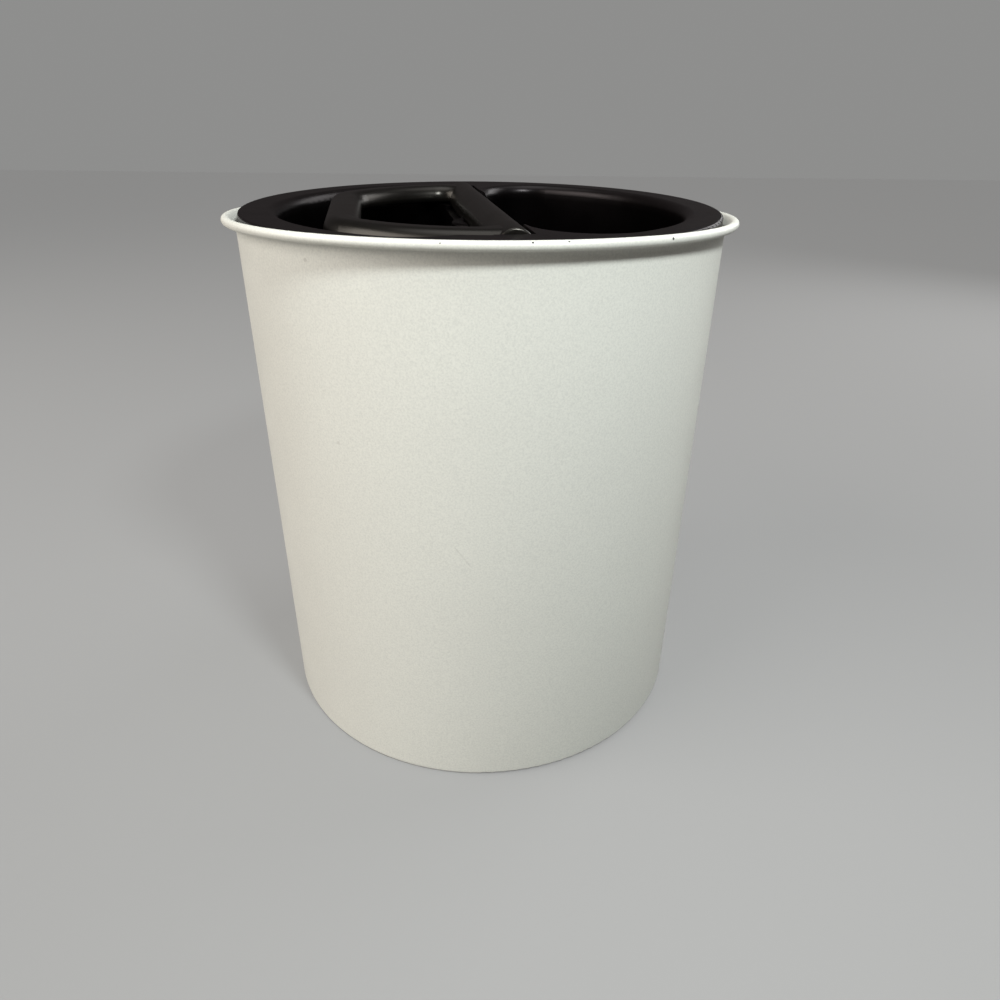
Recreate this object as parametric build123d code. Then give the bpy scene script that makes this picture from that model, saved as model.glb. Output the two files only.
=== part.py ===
from build123d import *
import os
from math import cos, radians, sin, sqrt

# Coffee canister with a plunger lid, a folding handle and a valve that the handle works.
# Millimetres, +Z up, origin at the centre of the base on the surface that the canister stands on.
# The lid's pieces are drawn in the lid's own frame, with the middle of the lid's top face at its
# origin, the hinge bar along Y and the handle folded towards -X. seat() puts them in the mouth,
# where the lid is pushed in by hand and stays tipped a little, with its front the lowest.

# Canister: the driving sizes
canister_height = 203.0
wall_radius = 90.0
sheet = 0.6
base_corner_radius = 1.3
foot_ring_width = 6.0
base_recess = 2.6
base_step_width = 3.2
base_bend_radius = 1.5
rim_overhang = 4.5
curl_radius = 1.45
curl_turn = 280.0
flare_angle = 50.0
flare_bend_radius = 3.0

# Lid: the driving sizes
lid_proud = 2.0
lid_turn = 8.5
lid_tip = 2.7
flange_clearance = 0.5
flange_thickness = 3.0
flange_edge_radius = 0.8
flange_width = 9.9
pocket_edge_radius = 3.5
pocket_depth = 22.0
pocket_corner_radius = 20.0
pocket_floor_radius = 3.0
moulding_wall = 2.2
skirt_inset = 3.4

# Hinge bar and handle
bar_radius = 6.5
bar_crown = 1.8
bar_end_inset = 17.3
bar_end_radius = 0.9
saddle_clearance = 0.4
saddle_height = 3.2
deck_slot_length = 19.3
grip_side_half_length = 36.2
grip_arm_overhang = 0.4
grip_band = 12.3
grip_arm_band = 11.8
grip_outer_corner = 22.5
grip_inner_corner = 13.3
grip_thickness = 7.0
grip_crown = 1.0
grip_top_radius = 4.6
grip_under_radius = 2.2
grip_root_width = 9.0
grip_root_radius = 8.0
seat_clearance = 1.3
rest_clearance = 0.3
pin_radius = 1.5
pin_running_clearance = 0.05
pin_in_bar = 12.0
pin_cover = 3.6
pin_end_clearance = 0.5
pin_chamfer = 0.3

# Valve
valve_travel = 3.0
cam_radius = 5.0
cam_half_length = 6.2
cam_clearance = 0.2
stem_radius = 2.0
stem_head_radius = 5.5
stem_head_thickness = 1.8
stem_head_chamfer = 0.4
stem_tail_radius = 1.5
stem_clearance = 0.05
stop_clearance = 0.1
guide_wall = 1.2
well_radius = 7.4
well_depth = 20.0
housing_radius = 12.0
housing_rise = 2.0
housing_edge_radius = 1.2
port_radius = 1.2
port_count = 6
port_circle_radius = 5.9
seat_lip_radius = 8.4
seat_lip_width = 1.0
seat_lip_height = 0.6
seal_radius = 10.5
seal_thickness = 1.8
seal_gap = 0.3
washer_radius = 8.0
washer_thickness = 1.2
clip_radius = 3.4
clip_thickness = 0.6
clip_groove_depth = 0.4
stem_end_length = 0.9
spring_wire = 0.7
spring_coil_radius = 4.0
spring_turns = 4.5

# Underplate, wiper, screws and screen
plate_thickness = 2.6
plate_inset = 1.4
plate_hole_radius = 15.0
plate_rib = 1.2
plate_rib_depth = 1.5
plate_rib_inner_radius = 27.0
plate_rib_outer_radius = 62.0
plate_rib_count = 6
wiper_clearance = 0.3
wiper_fit = 0.1
wiper_band = 1.3
wiper_height = 8.6
wiper_lip_height = 2.6
wiper_lip_edge = 0.5
shoulder_thickness = 2.4
screw_count = 6
screw_radius = 1.2
screw_length = 10.0
screw_hole_clearance = 0.3
screw_head_radius = 2.8
screw_head_height = 1.7
screw_head_edge = 0.7
screw_slot_width = 0.8
screw_slot_depth = 0.8
boss_radius = 3.2
screen_clearance = 0.3
screen_wall = 1.5
screen_flange = 3.2
screen_flange_thickness = 1.2
screen_depth = 8.5
screen_slot_width = 1.8
screen_slot_count = 10
screen_hub_radius = 3.4

# One overrun for every cut
over = 1.0

# Sizes that follow from the ones above
inner_radius = wall_radius - sheet
lid_top_height = canister_height + lid_proud
flange_radius = inner_radius - flange_clearance
pocket_radius = flange_radius - flange_width - pocket_edge_radius
tub_depth = pocket_depth + moulding_wall
skirt_radius = flange_radius - skirt_inset
skirt_inner_radius = skirt_radius - moulding_wall
bar_half_length = skirt_radius - bar_end_inset
axis_height = bar_crown - bar_radius
saddle_radius = bar_radius + saddle_clearance
saddle_half_width = saddle_radius + moulding_wall
saddle_top = axis_height - saddle_height
channel_bottom = axis_height - saddle_radius - moulding_wall
slot_half_length = bar_half_length + rest_clearance
saddle_half_length = slot_half_length - deck_slot_length
grip_arm_radius = bar_half_length + grip_arm_overhang
grip_reach = sqrt(grip_arm_radius ** 2 - grip_side_half_length ** 2)
grip_under = grip_crown - grip_thickness
ledge_height = grip_under - rest_clearance
arm_stop = grip_crown - axis_height + rest_clearance
cam_offset = valve_travel / 2
cam_low = cam_radius - cam_offset
head_top = axis_height - cam_low - cam_clearance
head_under = head_top - stem_head_thickness
guide_top = head_under - valve_travel - stop_clearance
guide_radius = stem_radius + stem_clearance + guide_wall
seal_top = -tub_depth - seat_lip_height - seal_gap
washer_top = seal_top - seal_thickness
clip_top = washer_top - washer_thickness
stem_end = clip_top - clip_thickness - stem_end_length
plate_top = -tub_depth
plate_bottom = plate_top - plate_thickness
plate_radius = flange_radius - plate_inset
wiper_radius = inner_radius - wiper_clearance - tub_depth * sin(radians(lid_tip))
wiper_bottom = plate_top + wiper_fit
wiper_top = wiper_bottom + wiper_height
boss_circle_radius = (pocket_radius + moulding_wall + skirt_inner_radius) / 2


def seat(shape):
    """Turns a piece of the lid to its place, tips it and puts it in the mouth."""
    return Pos(0, 0, lid_top_height) * Rot(lid_tip, 0, 0) * Rot(0, 0, lid_turn) * shape


def ring(outer, inner, bottom, top):
    """A flat ring about Z between two heights."""
    return Pos(0, 0, bottom) * extrude(Circle(outer) - Circle(inner), top - bottom)


def disc(radius, bottom, top):
    """A solid disc about Z between two heights."""
    return Pos(0, 0, bottom) * extrude(Circle(radius), top - bottom)


def block(x_low, x_high, y_low, y_high, z_low, z_high):
    """A box between two corners."""
    size = (x_high - x_low, y_high - y_low, z_high - z_low)
    middle = ((x_low + x_high) / 2, (y_low + y_high) / 2, (z_low + z_high) / 2)
    return Pos(*middle) * Box(*size)


def rod(radius, y_low, y_high, x=0.0, z=0.0):
    """A round bar along Y between two places."""
    return Pos(x, (y_low + y_high) / 2, z) * Rot(90, 0, 0) * Cylinder(radius, y_high - y_low)


def canister_body():
    """Drawn shell: recessed base, foot ring, straight wall, flare and rolled rim, all of one sheet."""
    half = sheet / 2
    wall = wall_radius - half
    foot = wall - foot_ring_width
    curl = curl_radius - half
    curl_centre = (wall_radius + rim_overhang - curl_radius, canister_height - curl_radius)
    lean = radians(flare_angle)
    lip = (curl_centre[0] - curl * sin(lean), curl_centre[1] + curl * cos(lean))
    bend = lip[1] - (lip[0] - wall) * sin(lean) / cos(lean)
    base = FilletPolyline(
        (0, base_recess + half), (foot - base_step_width, base_recess + half), (foot, half), (wall, half),
        (wall, bend), lip,
        radius=[base_bend_radius, base_bend_radius, base_corner_radius - half, flare_bend_radius],
    )
    curl_line = CenterArc(curl_centre, curl, 90 + flare_angle, -curl_turn)
    return revolve(Plane.XZ * trace(base + curl_line, sheet), Axis.Z)


def half_moon(radius, straight, corner, side):
    """The part of a disc beyond a straight edge, with its two corners rounded."""
    beyond = Pos(side * (straight + radius), 0) * Rectangle(2 * radius, 2 * radius)
    face = Circle(radius) & beyond
    return fillet(face.vertices(), corner)


def grip_outline(grow, radius, reach, corner, edge):
    """D outline of the handle on the bar's left, from the place edge outwards."""
    long = bar_half_length + grow
    box = Pos(-(reach + grow + edge) / 2, 0) * Rectangle(reach + grow - edge, 2 * long)
    face = Circle(radius + grow) & box
    far = face.vertices().sort_by(Axis.X)[:2]
    return fillet(far, corner + grow)


def lid_top():
    """Black moulding: flange, skirt, pockets, saddle for the bar, seats for the arms, valve housing."""
    body = disc(flange_radius, -flange_thickness, 0)
    body += ring(skirt_radius, skirt_inner_radius, -tub_depth, 0)
    shoulder_bottom = wiper_top + wiper_fit
    body += ring(plate_radius, skirt_inner_radius, shoulder_bottom, shoulder_bottom + shoulder_thickness)
    for side in (-1, 1):
        tub = half_moon(
            pocket_radius + moulding_wall, saddle_radius, pocket_corner_radius + moulding_wall, side
        )
        body += Pos(0, 0, -tub_depth) * extrude(tub, tub_depth)
    arm_seat = grip_outline(
        seat_clearance + moulding_wall, grip_arm_radius, grip_reach, grip_outer_corner, saddle_radius
    )
    seat_bottom = ledge_height - moulding_wall
    body += Pos(0, 0, seat_bottom) * extrude(arm_seat, -seat_bottom)
    end = slot_half_length + moulding_wall
    body += block(-saddle_half_width, saddle_half_width, -end, end, channel_bottom, 0)
    for index in range(screw_count):
        boss = Pos(boss_circle_radius, 0) * disc(boss_radius, -tub_depth, 0)
        body += Rot(0, 0, index * 360 / screw_count) * boss
    pin_block_bottom = axis_height - 2 * pin_radius - moulding_wall
    for side in (-1, 1):
        near, far = sorted((side * slot_half_length, side * (skirt_inner_radius + moulding_wall / 2)))
        body += block(-saddle_radius, saddle_radius, near, far, pin_block_bottom, 0)

    # The pockets, with rounded floors and a wide rounded edge at the deck
    for side in (-1, 1):
        face = half_moon(pocket_radius, saddle_half_width, pocket_corner_radius, side)
        hollow = Pos(0, 0, -pocket_depth) * extrude(face, pocket_depth + over)
        floor = hollow.faces().sort_by(Axis.Z)[0]
        body -= fillet(floor.edges(), pocket_floor_radius)
    deck = body.faces().sort_by(Axis.Z)[-1]
    body = fillet(deck.inner_wires().edges(), pocket_edge_radius)
    deck = body.faces().sort_by(Axis.Z)[-1]
    body = fillet(deck.outer_wire().edges(), flange_edge_radius)

    # The valve housing stands in the saddle and bulges a little into both pockets
    housing = disc(housing_radius, -tub_depth, saddle_top + housing_rise)
    housing = fillet(housing.faces().sort_by(Axis.Z)[-1].edges(), housing_edge_radius)
    body += housing
    low_width = saddle_half_width + pocket_edge_radius + over
    low = block(-low_width, low_width, -saddle_half_length, saddle_half_length, saddle_top, over)
    body -= low - housing

    # The groove that the bar lies in, open at the top as far as the raised arms reach, and the
    # recess for the folded arms
    body -= rod(saddle_radius, -slot_half_length, slot_half_length, z=axis_height)
    body -= block(0, arm_stop, -slot_half_length, slot_half_length, axis_height, over)
    body -= block(-saddle_radius, 0, -slot_half_length, slot_half_length, ledge_height, over)
    arms = grip_outline(seat_clearance, grip_arm_radius, grip_reach, grip_outer_corner, saddle_radius - over)
    arms -= Pos(-saddle_radius / 2, 0) * Rectangle(saddle_radius, 2 * (grip_arm_radius + seat_clearance))
    body -= Pos(0, 0, ledge_height) * extrude(arms, over - ledge_height)

    # The valve's well, guide, ports and seat
    body -= disc(well_radius, -well_depth, axis_height)
    body += disc(guide_radius, -well_depth, guide_top)
    body -= disc(stem_radius + stem_clearance, -tub_depth - over, guide_top + over)
    for index in range(port_count):
        port = Pos(port_circle_radius, 0) * disc(port_radius, -tub_depth - over, -well_depth + over)
        body -= Rot(0, 0, index * 360 / port_count) * port
    lip_bottom = -tub_depth - seat_lip_height
    body += ring(seat_lip_radius + seat_lip_width, seat_lip_radius, lip_bottom, -tub_depth)

    # Holes for the pins, right through the skirt, and for the screws
    body -= rod(pin_radius, -flange_radius, flange_radius, z=axis_height) - block(
        -saddle_radius, saddle_radius, -bar_half_length, bar_half_length, -tub_depth, over
    )
    for index in range(screw_count):
        hole = Pos(boss_circle_radius, 0) * disc(screw_radius, -tub_depth - over, -tub_depth + screw_length)
        body -= Rot(0, 0, index * 360 / screw_count) * hole
    return body


def lid_underplate():
    """Lower moulding: a ribbed disc that clamps the wiper, with a hole for the screen."""
    body = ring(plate_radius, plate_hole_radius, plate_bottom, plate_top)
    rib_bottom = plate_bottom - plate_rib_depth
    for radius in (plate_rib_inner_radius, plate_rib_outer_radius):
        body += ring(radius, radius - plate_rib, rib_bottom, plate_bottom)
    for index in range(plate_rib_count):
        rib = block(
            plate_rib_inner_radius - plate_rib / 2, plate_rib_outer_radius - plate_rib / 2,
            -plate_rib / 2, plate_rib / 2, rib_bottom, plate_bottom,
        )
        body += Rot(0, 0, (index + 1 / 2) * 360 / plate_rib_count) * rib
    for index in range(screw_count):
        hole_radius = screw_radius + screw_hole_clearance
        hole = Pos(boss_circle_radius, 0) * disc(hole_radius, plate_bottom - over, plate_top + over)
        body -= Rot(0, 0, index * 360 / screw_count) * hole
    return body


def wiper_seal():
    """Soft ring on the skirt, with two lips that lean outwards to the wall."""
    back = skirt_radius + wiper_fit
    band = back + wiper_band
    step = wiper_height / 2
    points = [(back, wiper_bottom)]
    for lip in (0, 1):
        low = wiper_bottom + lip * step
        points += [
            (band, low), (band, low + wiper_lip_edge), (wiper_radius, low + wiper_lip_height),
            (wiper_radius, low + wiper_lip_height + wiper_lip_edge), (band, low + wiper_lip_height),
        ]
    points += [(band, wiper_top), (back, wiper_top)]
    return revolve(Plane.XZ * make_face(Polyline(*points, close=True)), Axis.Z)


def lid_screws():
    """Self-tapping screws, seated on the underplate from below."""
    screws = []
    for index in range(screw_count):
        top = plate_bottom + screw_length
        screw = disc(screw_radius, plate_bottom, top)
        screw = chamfer(screw.faces().sort_by(Axis.Z)[-1].edges(), screw_radius / 2)
        head = disc(screw_head_radius, plate_bottom - screw_head_height, plate_bottom)
        head = fillet(head.faces().sort_by(Axis.Z)[0].edges(), screw_head_edge)
        slot_top = plate_bottom - screw_head_height + screw_slot_depth
        for turn in (0, 90):
            slot = block(
                -screw_head_radius / 2, screw_head_radius / 2, -screw_slot_width / 2, screw_slot_width / 2,
                slot_top - screw_head_height, slot_top,
            )
            head -= Rot(0, 0, turn) * slot
        screws.append(Rot(0, 0, index * 360 / screw_count) * Pos(boss_circle_radius, 0) * (screw + head))
    return screws


def hinge_pin(side):
    """Steel stub pin, pressed into the lid's block and free in the end of the bar."""
    near = side * (bar_half_length - pin_in_bar)
    far = side * (skirt_radius - pin_cover)
    body = rod(pin_radius, *sorted((near, far)), z=axis_height)
    return chamfer(body.edges().filter_by(GeomType.CIRCLE), pin_chamfer)


def handle():
    """D-shaped grip and hinge bar in one moulding, with the cam cut under the bar's middle."""
    outer = grip_outline(0, grip_arm_radius, grip_reach, grip_outer_corner, 0)
    gap_radius = grip_arm_radius - grip_arm_band
    gap_reach = grip_reach - grip_band
    inner = Circle(gap_radius)
    inner &= Pos((over - gap_reach) / 2, 0) * Rectangle(gap_reach + over, 2 * gap_radius)
    inner &= Pos(-gap_reach, 0) * RegularPolygon(gap_reach + gap_radius - grip_root_width, 4)
    inner = fillet(inner.vertices().sort_by(Axis.X)[2:4], grip_root_radius)
    inner = fillet(inner.vertices().sort_by(Axis.X)[:2], grip_inner_corner)
    grip = Pos(0, 0, grip_under) * extrude(outer - inner, grip_thickness)
    top = grip.faces().sort_by(Axis.Z)[-1].edges().sort_by(Axis.X)[:-2]
    grip = fillet(top, grip_top_radius)
    under = grip.faces().sort_by(Axis.Z)[0].edges().sort_by(Axis.X)[:-2]
    grip = fillet(under, grip_under_radius)
    bar = rod(bar_radius, -bar_half_length, bar_half_length, z=axis_height)
    bar = fillet(bar.edges().filter_by(GeomType.CIRCLE), bar_end_radius)

    # The cam: a round of cam_radius, off the axis by cam_offset both ways, left under the bar's middle
    cam_height = axis_height + cam_offset
    low = axis_height - bar_radius - over
    wide = bar_radius + over
    relief = block(-wide, wide, -cam_half_length, cam_half_length, low, cam_height)
    relief -= rod(cam_radius, -cam_half_length, cam_half_length, x=cam_offset, z=cam_height)
    relief -= block(-wide, cam_offset, -cam_half_length, cam_half_length, axis_height - cam_low, cam_height)
    body = grip + (bar - relief)
    bore_depth = pin_in_bar + pin_end_clearance
    for side in (-1, 1):
        ends = sorted((side * (bar_half_length - bore_depth), side * (bar_half_length + over)))
        body -= rod(pin_radius + pin_running_clearance, *ends, z=axis_height)
    return body


def valve_stem():
    """Guided stem: a flat head under the cam, and a thinner tail for the seal, washer and clip."""
    body = disc(stem_head_radius, head_under, head_top)
    body = chamfer(body.edges(), stem_head_chamfer)
    body += disc(stem_radius, seal_top, head_under)
    body += disc(stem_tail_radius, stem_end, seal_top)
    groove = ring(
        stem_tail_radius + over, stem_tail_radius - clip_groove_depth, clip_top - clip_thickness, clip_top
    )
    return body - groove


def valve_seal():
    """Soft disc under the ports."""
    return ring(seal_radius, stem_tail_radius + stem_clearance, washer_top, seal_top)


def seal_washer():
    """Stiff disc behind the seal."""
    return ring(washer_radius, stem_tail_radius + stem_clearance, clip_top, washer_top)


def stem_clip():
    """Spring clip in the stem's groove, open on one side."""
    bore = stem_tail_radius - clip_groove_depth + stem_clearance
    body = ring(clip_radius, bore, clip_top - clip_thickness, clip_top)
    low = clip_top - 2 * clip_thickness
    mouth = block(0, clip_radius + over, -bore, bore, low, clip_top + clip_thickness)
    return body - mouth


def valve_spring():
    """Compression spring between the floor of the well and the stem's head."""
    rise = head_under + well_depth - spring_wire
    coil = Helix(rise / spring_turns, rise, spring_coil_radius)
    wire = Plane(coil @ 0, z_dir=coil % 0) * Circle(spring_wire / 2)
    return Pos(0, 0, spring_wire / 2 - well_depth) * sweep(wire, coil, is_frenet=True)


def valve_screen():
    """Slotted cup that snaps into the underplate and keeps the beans off the valve."""
    outer = plate_hole_radius - screen_clearance
    inner = outer - screen_wall
    bottom = plate_bottom - screen_depth
    body = disc(outer, bottom, plate_top - screen_clearance) - disc(inner, bottom + screen_wall, plate_top)
    lip_bottom = plate_bottom - screen_flange_thickness
    body += ring(plate_hole_radius + screen_flange, inner, lip_bottom, plate_bottom)
    for index in range(screen_slot_count):
        slot = block(
            screen_hub_radius, inner - screen_wall, -screen_slot_width / 2, screen_slot_width / 2,
            bottom - over, bottom + screen_wall + over,
        )
        body -= Rot(0, 0, index * 360 / screen_slot_count) * slot
    return body


os.makedirs("parts", exist_ok=True)
export_step(canister_body(), "parts/canister_body.step")
export_step(seat(lid_top()), "parts/lid_top.step")
export_step(seat(lid_underplate()), "parts/lid_underplate.step")
export_step(seat(wiper_seal()), "parts/wiper_seal.step")
export_step(Compound(children=[seat(screw) for screw in lid_screws()]), "parts/lid_screws.step")
export_step(seat(hinge_pin(-1)), "parts/hinge_pin_front.step")
export_step(seat(hinge_pin(1)), "parts/hinge_pin_rear.step")
export_step(seat(handle()), "parts/handle.step")
export_step(seat(valve_stem()), "parts/valve_stem.step")
export_step(seat(valve_seal()), "parts/valve_seal.step")
export_step(seat(seal_washer()), "parts/seal_washer.step")
export_step(seat(stem_clip()), "parts/stem_clip.step")
export_step(seat(valve_spring()), "parts/valve_spring.step")
export_step(seat(valve_screen()), "parts/valve_screen.step")
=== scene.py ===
from math import cos, radians, sin

import bpy
from mathutils import Matrix, Vector


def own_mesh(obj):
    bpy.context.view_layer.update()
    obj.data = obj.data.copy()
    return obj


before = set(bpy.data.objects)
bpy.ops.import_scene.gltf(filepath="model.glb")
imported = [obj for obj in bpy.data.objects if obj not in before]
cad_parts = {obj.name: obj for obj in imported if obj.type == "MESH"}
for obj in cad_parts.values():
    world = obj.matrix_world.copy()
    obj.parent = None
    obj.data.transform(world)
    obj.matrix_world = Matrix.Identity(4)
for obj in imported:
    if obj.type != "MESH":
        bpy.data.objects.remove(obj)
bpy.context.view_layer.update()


# Camera, first: the place and the lens that give the photographed outline of the canister.
# It looks down into the lid at a low angle, close by, so that the canister narrows downwards.
camera_place = Vector((0.0, -0.28283, 0.22535))
camera_turn = radians(1.626)
camera_tip = radians(27.197)
camera_lean = radians(0.674)
film_width = 36.0
camera_lens = 24.554
camera_shift = -0.00472
nearest_seen = 0.01
forward = Vector((sin(camera_turn) * cos(camera_tip), cos(camera_turn) * cos(camera_tip), -sin(camera_tip)))
level = Vector((cos(camera_turn), -sin(camera_turn), 0.0))
upright = level.cross(forward)
right = level * cos(camera_lean) + upright * sin(camera_lean)
above = upright * cos(camera_lean) - level * sin(camera_lean)
camera = bpy.data.objects.new("camera", bpy.data.cameras.new("camera"))
camera.data.sensor_width = film_width
camera.data.lens = camera_lens
camera.data.shift_y = camera_shift
camera.data.clip_start = nearest_seen
camera_axes = Matrix((right, above, -forward)).transposed().to_4x4()
camera.matrix_world = Matrix.Translation(camera_place) @ camera_axes
bpy.context.scene.collection.objects.link(camera)
bpy.context.scene.camera = camera


# Canister: drawn steel under a powder coat, warm off-white with a fine grain in it. The coat is
# thin over the rolled rim, where knocks have chipped it to the dark metal. Two faint smudges and
# a scratch show on its front.
def finish(node, colour):
    """A material on a CAD node, its nodes, its shader and the place on the object, in metres."""
    paint = bpy.data.materials.new(node)
    paint.use_nodes = True
    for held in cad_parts[node].material_slots:
        held.material = paint
    shader = paint.node_tree.nodes["Principled BSDF"]
    shader.inputs["Base Color"].default_value = (*colour, 1.0)
    place = paint.node_tree.nodes.new("ShaderNodeTexCoord").outputs["Object"]
    return paint.node_tree, shader, place


def grain(tree, place, waves, detail, harshness=0.5):
    """Noise over the object, with so many waves to the metre."""
    noise = tree.nodes.new("ShaderNodeTexNoise")
    noise.inputs["Scale"].default_value = waves
    noise.inputs["Detail"].default_value = detail
    noise.inputs["Roughness"].default_value = harshness
    tree.links.new(place, noise.inputs["Vector"])
    return noise.outputs["Fac"]


def stretch(tree, value, low, high, to_low=0.0, to_high=1.0):
    """A value carried from one range to another, and held at its ends."""
    span = tree.nodes.new("ShaderNodeMapRange")
    tree.links.new(value, span.inputs["Value"])
    for name, number in (("From Min", low), ("From Max", high), ("To Min", to_low), ("To Max", to_high)):
        span.inputs[name].default_value = number
    return span.outputs["Result"]


def weaken(tree, amount, most):
    """An amount from 0 to 1 carried to a range from 0 to most."""
    return stretch(tree, amount, 0.0, 1.0, 0.0, most)


def tint(tree, amount, under, over):
    """Two colours laid over each other by an amount. Each is a colour or a socket."""
    mix = tree.nodes.new("ShaderNodeMix")
    mix.data_type = "RGBA"
    factor, under_colour, over_colour = mix.inputs[0], mix.inputs[6], mix.inputs[7]
    laid_colour = mix.outputs[2]
    tree.links.new(amount, factor)
    for socket, value in ((under_colour, under), (over_colour, over)):
        if isinstance(value, tuple):
            socket.default_value = (*value, 1.0)
        else:
            tree.links.new(value, socket)
    return laid_colour


def clouds(tree, place, under, over, waves, detail=4.0, harshness=0.5, low=0.4, high=0.8, most=1.0):
    """One colour clouded with another, where the noise rises from low to high."""
    amount = stretch(tree, grain(tree, place, waves, detail, harshness), low, high, 0.0, most)
    return tint(tree, amount, under, over)


def sheen(tree, shader, place, waves, smooth, rough, detail=3.0):
    """Roughness that wanders between two values over the piece."""
    noise_low, noise_high = 0.3, 0.7
    roughness = stretch(tree, grain(tree, place, waves, detail), noise_low, noise_high, smooth, rough)
    tree.links.new(roughness, shader.inputs["Roughness"])


def relief(tree, shader, place, waves, depth, detail=2.0):
    """Fine unevenness of the surface, so many metres deep."""
    bump = tree.nodes.new("ShaderNodeBump")
    bump.inputs["Distance"].default_value = depth
    tree.links.new(grain(tree, place, waves, detail), bump.inputs["Height"])
    tree.links.new(bump.outputs["Normal"], shader.inputs["Normal"])


def blot(tree, place, centre, radius, ragged, waves):
    """1 within a ragged-edged spot at a place on the object, and 0 outside it."""
    core_share = 0.85
    away = tree.nodes.new("ShaderNodeVectorMath")
    away.operation = "DISTANCE"
    tree.links.new(place, away.inputs[0])
    away.inputs[1].default_value = centre
    rough = tree.nodes.new("ShaderNodeMath")
    rough.operation = "MULTIPLY_ADD"
    tree.links.new(grain(tree, place, waves, detail=2.0), rough.inputs[0])
    rough.inputs[1].default_value = ragged
    tree.links.new(away.outputs["Value"], rough.inputs[2])
    edge = radius + ragged / 2
    return stretch(tree, rough.outputs[0], edge * core_share, edge, 1.0, 0.0)


def streak(tree, place, start, end, width):
    """1 along a line between two places on the object, and 0 a width away from it."""
    core_share = 0.4
    run = Vector(end) - Vector(start)
    value = place
    for operation, operand, result in (
        ("SUBTRACT", start, "Vector"), ("DOT_PRODUCT", run / run.length_squared, "Value"),
    ):
        step = tree.nodes.new("ShaderNodeVectorMath")
        step.operation = operation
        tree.links.new(value, step.inputs[0])
        step.inputs[1].default_value = operand
        value = step.outputs[result]
    nearest = tree.nodes.new("ShaderNodeMix")
    nearest.data_type = "VECTOR"
    factor, line_start, line_end = nearest.inputs[0], nearest.inputs[4], nearest.inputs[5]
    line_place = nearest.outputs[1]
    tree.links.new(value, factor)
    line_start.default_value = start
    line_end.default_value = end
    away = tree.nodes.new("ShaderNodeVectorMath")
    away.operation = "DISTANCE"
    tree.links.new(place, away.inputs[0])
    tree.links.new(line_place, away.inputs[1])
    return stretch(tree, away.outputs["Value"], width * core_share, width, 1.0, 0.0)


coat_white = (0.765, 0.760, 0.690)
coat_dull = (0.660, 0.645, 0.590)
coat_speck = (0.50, 0.50, 0.46)
mark_grey = (0.36, 0.34, 0.30)
chip_dark = (0.030, 0.026, 0.026)
smudges = (
    (-0.0517, -0.0737, 0.1949, 0.0007, 0.30),
    (-0.0470, -0.0767, 0.1386, 0.0006, 0.25),
)
smudge_ragged, smudge_waves = 0.0012, 1200.0
scratch_start, scratch_end = (-0.0092, -0.0895, 0.1063), (-0.0043, -0.0899, 0.0995)
scratch_width, scratch_strength = 0.00035, 0.16
chips = (
    (0.01328, -0.09313, 0.20257, 0.00036),
    (0.02314, -0.09109, 0.20266, 0.00032),
    (0.05464, -0.07701, 0.20200, 0.00044),
    (-0.01111, -0.09361, 0.20232, 0.00022),
)
chip_ragged, chip_waves = 0.0003, 3000.0
tree, shader, place = finish("canister_body", coat_white)
coat = clouds(tree, place, coat_white, coat_dull, waves=22.0, detail=3.0, low=0.35, high=0.75, most=0.18)
coat = clouds(tree, place, coat, coat_speck, waves=1500.0, detail=3.0, harshness=0.7, high=0.70, most=0.40)
for x, y, z, radius, strength in smudges:
    spot = blot(tree, place, (x, y, z), radius, smudge_ragged, smudge_waves)
    coat = tint(tree, weaken(tree, spot, strength), coat, mark_grey)
scratch = streak(tree, place, scratch_start, scratch_end, scratch_width)
coat = tint(tree, weaken(tree, scratch, scratch_strength), coat, mark_grey)
for x, y, z, radius in chips:
    coat = tint(tree, blot(tree, place, (x, y, z), radius, chip_ragged, chip_waves), coat, chip_dark)
tree.links.new(coat, shader.inputs["Base Color"])
sheen(tree, shader, place, waves=60.0, smooth=0.40, rough=0.50, detail=2.0)
relief(tree, shader, place, waves=900.0, depth=0.00004)


# Lid moulding: black polypropylene from a spark-eroded mould, with the flange, both pockets,
# the saddle for the bar and the valve's housing in one piece. Dust lies on its top faces. Down in
# the pockets the colour is painted shade, darker than the plastic, and their reflection is turned down with
# it.
lid_black = (0.0020, 0.0014, 0.0014)
lid_dusty = (0.0060, 0.0045, 0.0045)
# painted shade: the colour given to the pockets below the deck, darker than the plastic itself
pocket_painted_shade = (0.0008, 0.0006, 0.0006)
lid_gloss_tint = (1.0, 0.90, 0.92, 1.0)
pocket_shade_gloss, deck_gloss = 0.08, 0.28
lid_tip = radians(2.7)
pocket_shade_top, deck_dust_full = 0.1990, 0.2040
mould_waves, mould_depth = 3200.0, 0.00002
tree, shader, place = finish("lid_top", lid_black)
# Height across the tipped deck: above it the dusty plastic and full reflection, below it the painted pocket
# shade
rise = tree.nodes.new("ShaderNodeVectorMath")
rise.operation = "DOT_PRODUCT"
rise.inputs[1].default_value = (0.0, -sin(lid_tip), cos(lid_tip))
tree.links.new(place, rise.inputs[0])
deck_dust_and_pocket_shade = stretch(tree, rise.outputs["Value"], pocket_shade_top, deck_dust_full)
coat = clouds(tree, place, lid_black, lid_dusty, waves=45.0, high=0.75, most=0.5)
tree.links.new(tint(tree, deck_dust_and_pocket_shade, pocket_painted_shade, coat), shader.inputs["Base Color"])
tree.links.new(stretch(tree, deck_dust_and_pocket_shade, 0.0, 1.0, pocket_shade_gloss, deck_gloss), shader.inputs["Specular IOR Level"])
shader.inputs["Specular Tint"].default_value = lid_gloss_tint
sheen(tree, shader, place, waves=120.0, smooth=0.31, rough=0.37)
relief(tree, shader, place, mould_waves, mould_depth)


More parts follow.
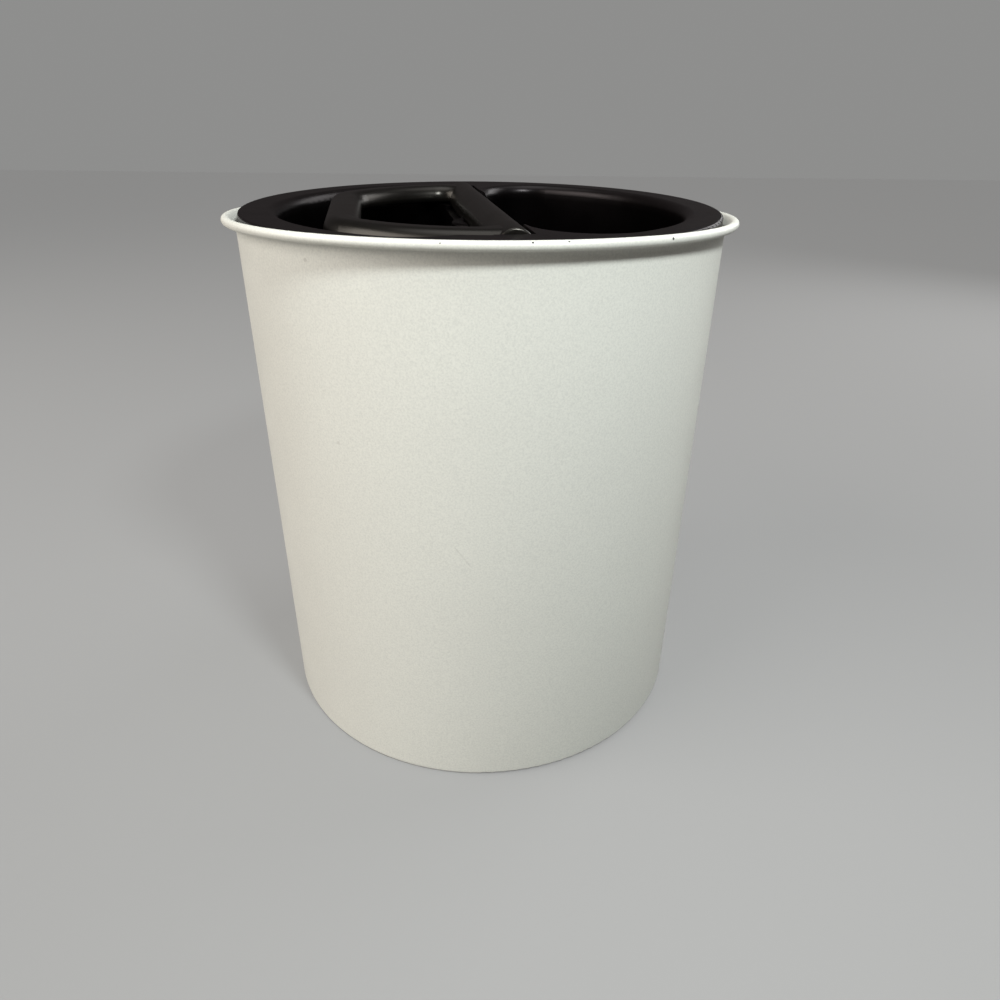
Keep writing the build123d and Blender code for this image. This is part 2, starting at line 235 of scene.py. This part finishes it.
# Underplate: the same plastic as the lid, moulded with ribs below. It closes the lid from
# underneath and is screwed up against the skirt.
plate_black = (0.012, 0.011, 0.011)
plate_dusty = (0.032, 0.029, 0.028)
plate_roughness = 0.48
tree, shader, place = finish("lid_underplate", plate_black)
coat = clouds(tree, place, plate_black, plate_dusty, waves=60.0, most=0.6)
tree.links.new(coat, shader.inputs["Base Color"])
shader.inputs["Roughness"].default_value = plate_roughness
relief(tree, shader, place, mould_waves, mould_depth)


# Wiper: a soft silicone ring, moulded with two thin lips that wipe the canister's wall.
# It is clamped between the skirt and the underplate.
wiper_black = (0.018, 0.018, 0.019)
wiper_powdery = (0.040, 0.038, 0.036)
wiper_roughness = 0.60
tree, shader, place = finish("wiper_seal", wiper_black)
tree.links.new(clouds(tree, place, wiper_black, wiper_powdery, waves=150.0), shader.inputs["Base Color"])
shader.inputs["Roughness"].default_value = wiper_roughness
relief(tree, shader, place, waves=900.0, depth=0.00003, detail=3.0)


# Screws and hinge pins: bright steel. The screws are driven up into the lid's bosses and hold
# the underplate, and the pins are pressed into the lid's end blocks.
steel_bright = (0.58, 0.58, 0.59)
steel_dull = (0.38, 0.37, 0.36)
for node in ("lid_screws", "hinge_pin_front", "hinge_pin_rear"):
    tree, shader, place = finish(node, steel_bright)
    shader.inputs["Metallic"].default_value = 1.0
    tree.links.new(clouds(tree, place, steel_bright, steel_dull, waves=700.0), shader.inputs["Base Color"])
    sheen(tree, shader, place, waves=1500.0, smooth=0.22, rough=0.40)


# Valve spring: a coil of drawn stainless wire that stands in the well round the stem's guide.
# It closes the valve, and in the real lid is pressed shorter from its top end as the stem comes down;
# here it keeps its modelled length, on a mesh of its own.
wire_bright = (0.60, 0.60, 0.62)
tree, shader, place = finish("valve_spring", wire_bright)
shader.inputs["Metallic"].default_value = 1.0
sheen(tree, shader, place, waves=2500.0, smooth=0.18, rough=0.34, detail=2.0)
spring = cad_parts["valve_spring"]
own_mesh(spring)


# Valve screen: a slotted cup in black plastic that snaps into the underplate and keeps the beans
# off the valve. Coffee dust has settled on it.
screen_black = (0.014, 0.014, 0.016)
screen_dusty = (0.045, 0.038, 0.032)
screen_roughness = 0.45
tree, shader, place = finish("valve_screen", screen_black)
tree.links.new(clouds(tree, place, screen_black, screen_dusty, waves=200.0), shader.inputs["Base Color"])
shader.inputs["Roughness"].default_value = screen_roughness
relief(tree, shader, place, mould_waves, mould_depth)


# Handle: a D-shaped grip and its round hinge bar in one dark grey moulding, glossier than the
# lid. Hands have polished it in patches. It turns on the two pins.
grip_dark = (0.0026, 0.0024, 0.0020)
grip_rubbed = (0.0060, 0.0055, 0.0048)
grip_gloss = 0.42
grip_gloss_tint = (1.0, 0.93, 0.84, 1.0)
tree, shader, place = finish("handle", grip_dark)
tree.links.new(clouds(tree, place, grip_dark, grip_rubbed, waves=70.0, most=0.7), shader.inputs["Base Color"])
shader.inputs["Specular IOR Level"].default_value = grip_gloss
shader.inputs["Specular Tint"].default_value = grip_gloss_tint
sheen(tree, shader, place, waves=160.0, smooth=0.28, rough=0.31)
relief(tree, shader, place, waves=3600.0, depth=0.000015)


# Valve stem: turned from white acetal, with a flat head that the cam presses. It slides in the
# lid's guide and has browned a little from the coffee.
stem_white = (0.76, 0.74, 0.68)
stem_browned = (0.50, 0.42, 0.32)
stem_roughness = 0.35
stem_glow = 0.1
tree, shader, place = finish("valve_stem", stem_white)
coat = clouds(tree, place, stem_white, stem_browned, waves=300.0, low=0.45, most=0.5)
tree.links.new(coat, shader.inputs["Base Color"])
shader.inputs["Roughness"].default_value = stem_roughness
shader.inputs["Subsurface Weight"].default_value = stem_glow


# Valve seal: a disc punched from red-brown silicone sheet. It is pushed over the stem and closes
# the ring of ports.
seal_red = (0.36, 0.055, 0.035)
seal_dark = (0.26, 0.045, 0.030)
seal_roughness = 0.55
tree, shader, place = finish("valve_seal", seal_red)
tree.links.new(clouds(tree, place, seal_red, seal_dark, waves=500.0), shader.inputs["Base Color"])
shader.inputs["Roughness"].default_value = seal_roughness


# Washer and clip: stamped steel behind the seal. The washer keeps the seal flat, and the clip
# springs into the stem's groove under it.
stamped_bright = (0.56, 0.56, 0.57)
for node in ("seal_washer", "stem_clip"):
    tree, shader, place = finish(node, stamped_bright)
    shader.inputs["Metallic"].default_value = 1.0
    sheen(tree, shader, place, waves=1200.0, smooth=0.26, rough=0.44)


# Floor and light: a pale floor in a plain grey room, brighter overhead. A broad lamp stands on the
# left and a weaker one behind. A small one high in front draws the rim's shadow on the wall.
lamps = (
    ("left lamp", "SQUARE", 1.2, 20.5, (1.0, 0.955, 0.905), (-1.20, -0.52, 0.77)),
    ("high lamp", "DISK", 0.10, 2.65, (0.93, 0.99, 1.0), (0.18, -0.365, 0.532)),
    ("rear lamp", "SQUARE", 0.8, 6.5, (1.0, 1.0, 1.0), (0.95, 0.62, 0.75)),
)
lit_place = Vector((0.0, 0.0, 0.15))
for name, outline, size, watts, colour, stand in lamps:
    lamp = bpy.data.objects.new(name, bpy.data.lights.new(name, "AREA"))
    lamp.data.shape = outline
    lamp.data.size = size
    lamp.data.energy = watts
    lamp.data.color = colour
    lamp.location = stand
    lamp.rotation_mode = "QUATERNION"
    lamp.rotation_quaternion = (lit_place - lamp.location).to_track_quat("-Z", "Y")
    bpy.context.scene.collection.objects.link(lamp)

floor_half = 6.0
floor_drop = 0.0002
floor_grey = (0.18, 0.18, 0.178)
floor_pale = (0.19, 0.19, 0.187)
floor_roughness = 0.9
floor_mesh = bpy.data.meshes.new("floor")
corners = [(x * floor_half, y * floor_half, -floor_drop) for x, y in ((-1, -1), (1, -1), (1, 1), (-1, 1))]
floor_mesh.from_pydata(corners, [], [(0, 1, 2, 3)])
floor = bpy.data.objects.new("floor", floor_mesh)
bpy.context.scene.collection.objects.link(floor)
floor_paint = bpy.data.materials.new("floor")
floor_paint.use_nodes = True
tree = floor_paint.node_tree
shader = tree.nodes["Principled BSDF"]
shader.inputs["Base Color"].default_value = (*floor_grey, 1.0)
shader.inputs["Roughness"].default_value = floor_roughness
shader.inputs["Emission Color"].default_value = (*floor_pale, 1.0)
seen = tree.nodes.new("ShaderNodeLightPath").outputs["Is Camera Ray"]
tree.links.new(seen, shader.inputs["Emission Strength"])
floor_mesh.materials.append(floor_paint)

room_grey = (0.062, 0.055, 0.055)
overhead_white = (1.60, 1.60, 1.60)
overhead_starts, overhead_full = 0.86, 0.96
backdrop_pale = (0.272, 0.272, 0.268)
room = bpy.data.worlds.new("room")
bpy.context.scene.world = room
room.use_nodes = True
tree = room.node_tree
height = tree.nodes.new("ShaderNodeSeparateXYZ")
tree.links.new(tree.nodes.new("ShaderNodeTexCoord").outputs["Generated"], height.inputs[0])
overhead = stretch(tree, height.outputs["Z"], overhead_starts, overhead_full)
air = tint(tree, overhead, room_grey, overhead_white)
seen = tree.nodes.new("ShaderNodeLightPath").outputs["Is Camera Ray"]
tree.links.new(tint(tree, seen, air, backdrop_pale), tree.nodes["Background"].inputs["Color"])
bpy.context.scene.view_settings.view_transform = "Standard"
